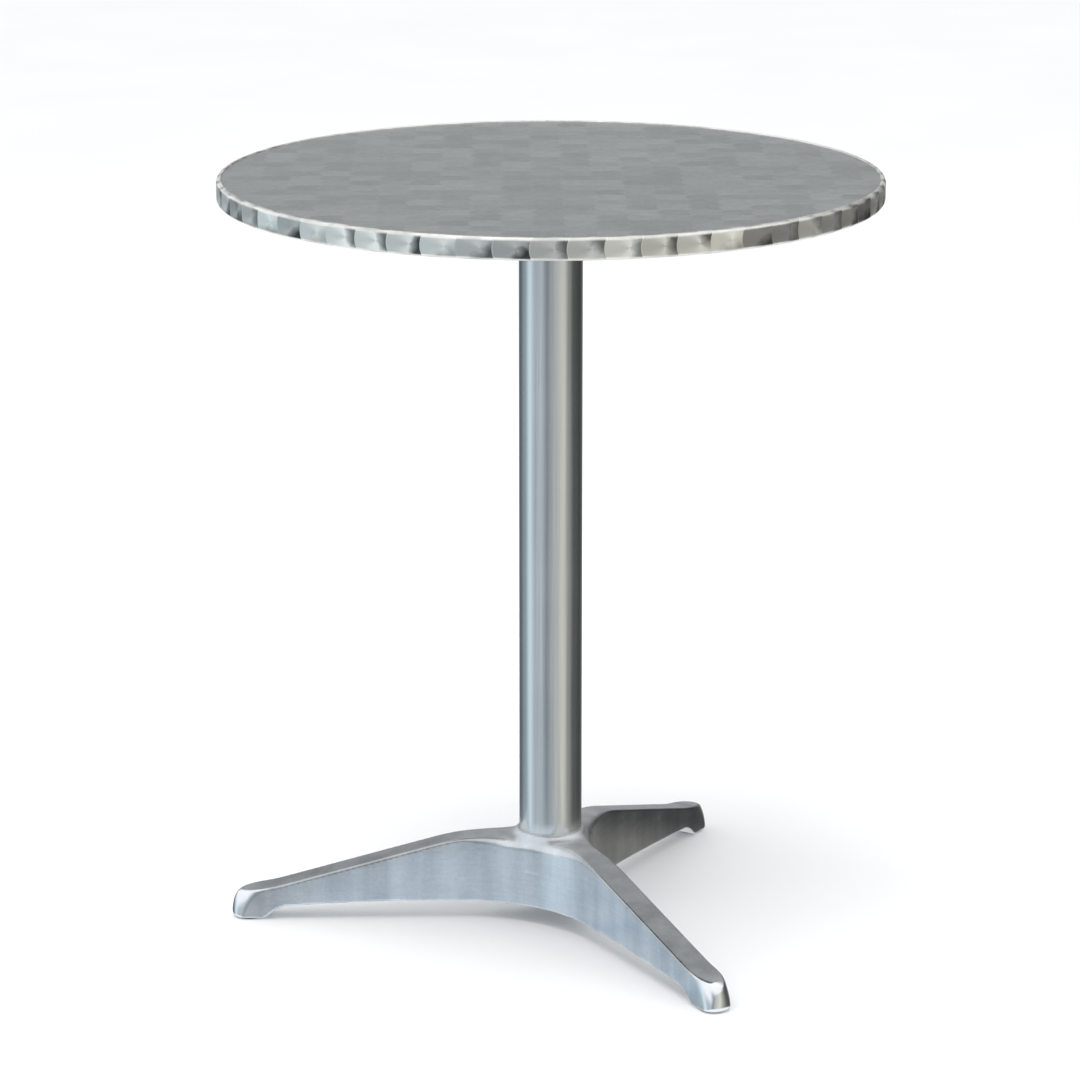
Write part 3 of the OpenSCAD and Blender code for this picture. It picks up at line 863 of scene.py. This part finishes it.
def metal(name, low, high, rough0, rough1, scale, depth):
    """A plain metal with cloudy tone, fine grain and small marks."""
    m = Shader(name)
    cloud = m.noise(scale, 4.0, 0.6)
    grain = m.noise(scale * 14, 3.0, 0.65)
    tone = m.maths("ADD", m.between(cloud, 0.3, 0.7, 0.2, 0.8), m.between(grain, 0.3, 0.7, -0.2, 0.2))
    rough = m.between(m.maths("ADD", cloud, m.maths("MULTIPLY", grain, 0.5)), 0.5, 1.0, rough0, rough1)
    return m.surface(Base_Color=m.mix(tone, low, high), Metallic=1.0, Roughness=rough,
                     Normal=m.bump(grain, depth, 0.8))


def fibreboard():
    """Pressed fibres: short pale and dark flecks in a warm brown board."""
    m = Shader("pressed_fibreboard")
    flecks = m.noise(900.0, 4.0, 0.7, stretch=(1.0, 1.0, 2.5))
    blotch = m.noise(60.0, 3.0, 0.5)
    tone = m.maths("ADD", m.between(flecks, 0.3, 0.7, 0.0, 0.8), m.between(blotch, 0.3, 0.7, 0.0, 0.2))
    colour = m.mix(tone, (0.19, 0.11, 0.055, 1), (0.47, 0.33, 0.19, 1))
    return m.surface(Base_Color=colour, Roughness=m.between(flecks, 0.3, 0.7, 0.75, 0.92),
                     Normal=m.bump(flecks, 0.0002, 0.8))


def backing():
    """Dark laminate with a fine pebbled skin and a few pale rubs."""
    m = Shader("dark_laminate")
    pebble = m.noise(1500.0, 2.0, 0.5)
    rub = m.noise(9.0, 5.0, 0.7)
    colour = m.mix(m.between(rub, 0.45, 0.75, 0.0, 1.0), (0.030, 0.031, 0.034, 1), (0.075, 0.076, 0.08, 1))
    return m.surface(Base_Color=colour, Roughness=m.between(rub, 0.3, 0.7, 0.42, 0.6),
                     Normal=m.bump(pebble, 0.00006, 0.7))


def pad_plastic():
    """Moulded plastic with a matt spark-eroded skin and scuffs near the floor."""
    m = Shader("moulded_pad_plastic")
    z = m.parts(m.place)[2]
    skin = m.noise(2600.0, 2.0, 0.5)
    scuff = m.maths("MULTIPLY", m.noise(240.0, 4.0, 0.7), m.between(z, 0.0, 0.003, 1.0, 0.3))
    colour = m.mix(m.between(scuff, 0.35, 0.7, 0.0, 1.0), (0.022, 0.022, 0.024, 1), (0.10, 0.098, 0.095, 1))
    return m.surface(Base_Color=colour, Roughness=m.between(skin, 0.3, 0.7, 0.45, 0.62),
                     Normal=m.bump(skin, 0.00005, 0.8))


def paint(material, *pieces):
    """Gives pieces one material."""
    for piece in pieces:
        piece.data.materials.clear()
        piece.data.materials.append(material)


zinc = metal("zinc_plated_steel", (0.46, 0.46, 0.43, 1), (0.78, 0.77, 0.73, 1), 0.22, 0.42, 130.0, 0.00002)
spring = metal("hardened_spring_steel", (0.16, 0.16, 0.17, 1), (0.42, 0.42, 0.43, 1), 0.3, 0.5, 160.0,
               0.00003)
strip = metal("mill_finish_strip", (0.5, 0.51, 0.52, 1), (0.68, 0.69, 0.7, 1), 0.3, 0.45, 90.0, 0.00001)
raw = metal("raw_cast_aluminium", (0.30, 0.31, 0.32, 1), (0.55, 0.56, 0.57, 1), 0.45, 0.62, 70.0, 0.00025)
paint(swirl_band(), band)
paint(swirl_sheet(), cad["top_sheet"])
paint(drawn_tube(), tube)
paint(polished_casting(), base)
paint(raw, bracket)
paint(fibreboard(), cad["core_board"])
paint(backing(), cad["backing_sheet"])
paint(strip, cad["band_joiner"])
paint(zinc, rod, *foot_screws, cad["bracket_screws"], cad["jam_nut"], cad["flat_washer"], cad["tie_nut"])
paint(spring, cad["spring_washer"])
paint(pad_plastic(), *pads)
for name, width in (("jam_nut", 0.25), ("tie_nut", 0.25), ("flat_washer", 0.3), ("spring_washer", 0.2),
                    ("bracket_screws", 0.15)):
    bevel(cad[name], width)


# ---- Floor, light and camera ----

def floor_disc(radius, rings, segments):
    """A flat disc of rings, finer near its middle."""
    radii = [radius * (k / rings) ** 2 for k in range(1, rings + 1)]
    points = [(0.0, 0.0, 0.0)]
    for r in radii:
        for i in range(segments):
            a = 2 * math.pi * i / segments
            points.append((r * math.cos(a), r * math.sin(a), 0.0))
    faces = [(0, 1 + i, 1 + (i + 1) % segments) for i in range(segments)]
    for k in range(rings - 1):
        a, b = 1 + k * segments, 1 + (k + 1) * segments
        for i in range(segments):
            j = (i + 1) % segments
            faces.append((a + i, b + i, b + j, a + j))
    mesh = bpy.data.meshes.new("floor")
    mesh.from_pydata(points, [], faces)
    piece = bpy.data.objects.new("floor", mesh)
    bpy.context.scene.collection.objects.link(piece)
    return piece


floor = floor_disc(12.0, 10, 64)
# Reflections pass through the floor to the panels below it
floor.visible_glossy = False
plain = Shader("pale_floor")
plain.surface(Base_Color=plain.mix(plain.between(plain.noise(3.0), 0.3, 0.7, 0.0, 1.0),
                                   (0.86, 0.86, 0.86, 1), (0.88, 0.88, 0.88, 1)),
              Roughness=0.9)
plain.bsdf.inputs["Specular IOR Level"].default_value = 0.1
paint(plain.material, floor)


def reflector():
    """A pale card on the floor that only reflections see: it lights the base's sides from below."""
    m = Shader("floor_reflector")
    x, y = m.parts(m.place)[:2]
    # The card is dimmer and warmer towards the back right
    away = m.maths("ADD", m.maths("MULTIPLY", x, 0.87), m.maths("MULTIPLY", y, 0.5))
    side = m.between(away, 0.04, 0.16, 1.0, 0.42)
    cloud = m.between(m.noise(16.0, 3.0, 0.6), 0.35, 0.65, 0.0, 1.0)
    tint = m.mix(cloud, (0.52, 0.63, 0.76, 1), (0.76, 0.85, 0.93, 1))
    tint = m.mix(m.between(away, 0.04, 0.16, 0.0, 1.0), tint, (0.66, 0.66, 0.61, 1))
    shown = m.between(m.length(x, y), 0.22, 0.30, 0.68, 0.0)
    glow = m.add("ShaderNodeEmission", {"Color": tint, "Strength": side})
    clear = m.add("ShaderNodeBsdfTransparent")
    mixed = m.add("ShaderNodeMixShader", {0: shown, 1: clear.outputs[0], 2: glow.outputs[0]})
    m.tree.links.new(mixed.outputs[0], m.tree.nodes["Material Output"].inputs["Surface"])
    card = floor_disc(0.31, 6, 64)
    card.name = "reflector_card"
    card.location.z = 0.0006
    for ray in ("camera", "diffuse", "transmission", "shadow", "volume_scatter"):
        setattr(card, "visible_" + ray, False)
    paint(m.material, card)


reflector()

# Soft panels that polished metal sees around it, by direction on the horizon: 0 and 1 are behind the
# table, 0.25 is at its left, 0.5 at the camera and 0.75 at its right
AROUND = (
    (0.00, (0.36, 0.37, 0.38)),
    (0.10, (0.10, 0.12, 0.14)),
    (0.20, (0.28, 0.35, 0.40)),
    (0.27, (0.70, 0.85, 0.92)),
    (0.34, (0.40, 0.46, 0.50)),
    (0.40, (0.45, 0.52, 0.56)),
    (0.46, (0.22, 0.26, 0.29)),
    (0.50, (0.35, 0.38, 0.40)),
    (0.56, (0.52, 0.54, 0.52)),
    (0.63, (0.70, 0.70, 0.62)),
    (0.69, (0.30, 0.30, 0.28)),
    (0.75, (0.08, 0.08, 0.08)),
    (0.87, (0.06, 0.06, 0.06)),
    (0.95, (0.20, 0.20, 0.20)),
)


def smooth(tree, value, start, end):
    """Goes softly from 0 to 1 as value goes from start to end."""
    made = new_node(tree, "ShaderNodeMapRange", {0: value, 1: start, 2: end, 3: 0.0, 4: 1.0},
                    interpolation_type="SMOOTHSTEP")
    return made.outputs[0]


def make_world():
    """Plain white to the camera, neutral soft light, and a room of soft panels for reflections."""
    world = bpy.data.worlds.new("studio")
    bpy.context.scene.world = world
    world.use_nodes = True
    tree = world.node_tree
    tree.nodes.clear()
    direction = new_node(tree, "ShaderNodeTexCoord").outputs["Generated"]
    split = new_node(tree, "ShaderNodeSeparateXYZ", {0: direction})
    x, y, z = split.outputs[0], split.outputs[1], split.outputs[2]
    back = new_node(tree, "ShaderNodeMath", {0: y, 1: -1.0}, operation="MULTIPLY")
    angle = new_node(tree, "ShaderNodeMath", {0: x, 1: back.outputs[0]}, operation="ARCTAN2")
    turn = new_node(tree, "ShaderNodeMath", {0: angle.outputs[0], 1: 1 / (2 * math.pi), 2: 0.5},
                    operation="MULTIPLY_ADD")
    ramp = new_node(tree, "ShaderNodeValToRGB", {0: turn.outputs[0]})
    ramp.color_ramp.interpolation = "EASE"
    stops = ramp.color_ramp.elements
    stops[0].position, stops[1].position = 0.0, 1.0
    stops[0].color = stops[1].color = (*AROUND[0][1], 1)
    for place, colour in AROUND[1:]:
        stops.new(place).color = (*colour, 1)
    # Higher up, the panels fade to a ceiling that is grey behind the table and bright elsewhere. A lamp
    # is straight above, and a pale floor below
    ceiling = blend(tree, smooth(tree, y, 0.60, 0.10), (0.34, 0.35, 0.36, 1), (1.00, 1.02, 1.04, 1))
    shade = ramp.outputs[0]
    for start, end, colour in ((0.28, 0.46, ceiling), (0.80, 0.93, (1.15, 1.17, 1.2, 1)),
                               (-0.42, -0.58, (0.95, 0.98, 1.0, 1))):
        shade = blend(tree, smooth(tree, z, start, end), shade, colour)
    # A tall window on the left, above the horizon
    left = smooth(tree, x, -0.30, -0.58)
    above = smooth(tree, z, -0.06, 0.12)
    pane = new_node(tree, "ShaderNodeMath", {0: left, 1: above}, operation="MULTIPLY")
    room = blend(tree, pane.outputs[0], shade, (0.96, 1.0, 1.04, 1))
    path = new_node(tree, "ShaderNodeLightPath")
    seen = new_node(tree, "ShaderNodeBackground", {0: (1, 1, 1, 1), 1: 1.0})
    soft = new_node(tree, "ShaderNodeBackground", {0: (0.98, 0.99, 1.0, 1), 1: 1.12})
    shine = new_node(tree, "ShaderNodeBackground", {0: room, 1: 1.0})
    mixed = new_node(tree, "ShaderNodeMixShader", {0: path.outputs["Is Glossy Ray"], 1: soft.outputs[0],
                                                   2: shine.outputs[0]})
    shown = new_node(tree, "ShaderNodeMixShader", {0: path.outputs["Is Camera Ray"], 1: mixed.outputs[0],
                                                   2: seen.outputs[0]})
    new_node(tree, "ShaderNodeOutputWorld", {0: shown.outputs[0]})


def soft_light(name, place, target, size, power):
    """A square soft box that points at a target."""
    data = bpy.data.lights.new(name, "AREA")
    data.size = size
    data.energy = power
    lamp = bpy.data.objects.new(name, data)
    lamp.location = place
    lamp.rotation_euler = (Vector(target) - Vector(place)).to_track_quat("-Z", "Y").to_euler()
    bpy.context.scene.collection.objects.link(lamp)
    return lamp


make_world()
overhead = soft_light("overhead_softbox", (-0.3, -0.5, 2.7), (0, 0, 0.4), 2.0, 45)
overhead.visible_glossy = False

camera = bpy.data.objects.new("camera", bpy.data.cameras.new("camera"))
camera.data.sensor_width = 36
camera.data.lens = 142.753
camera.location = (-0.04085, -3.79862, 1.38081)
camera.rotation_euler = (1.309294, 0.0, -0.008175)
bpy.context.scene.collection.objects.link(camera)
bpy.context.scene.camera = camera
bpy.context.scene.view_settings.view_transform = "Standard"
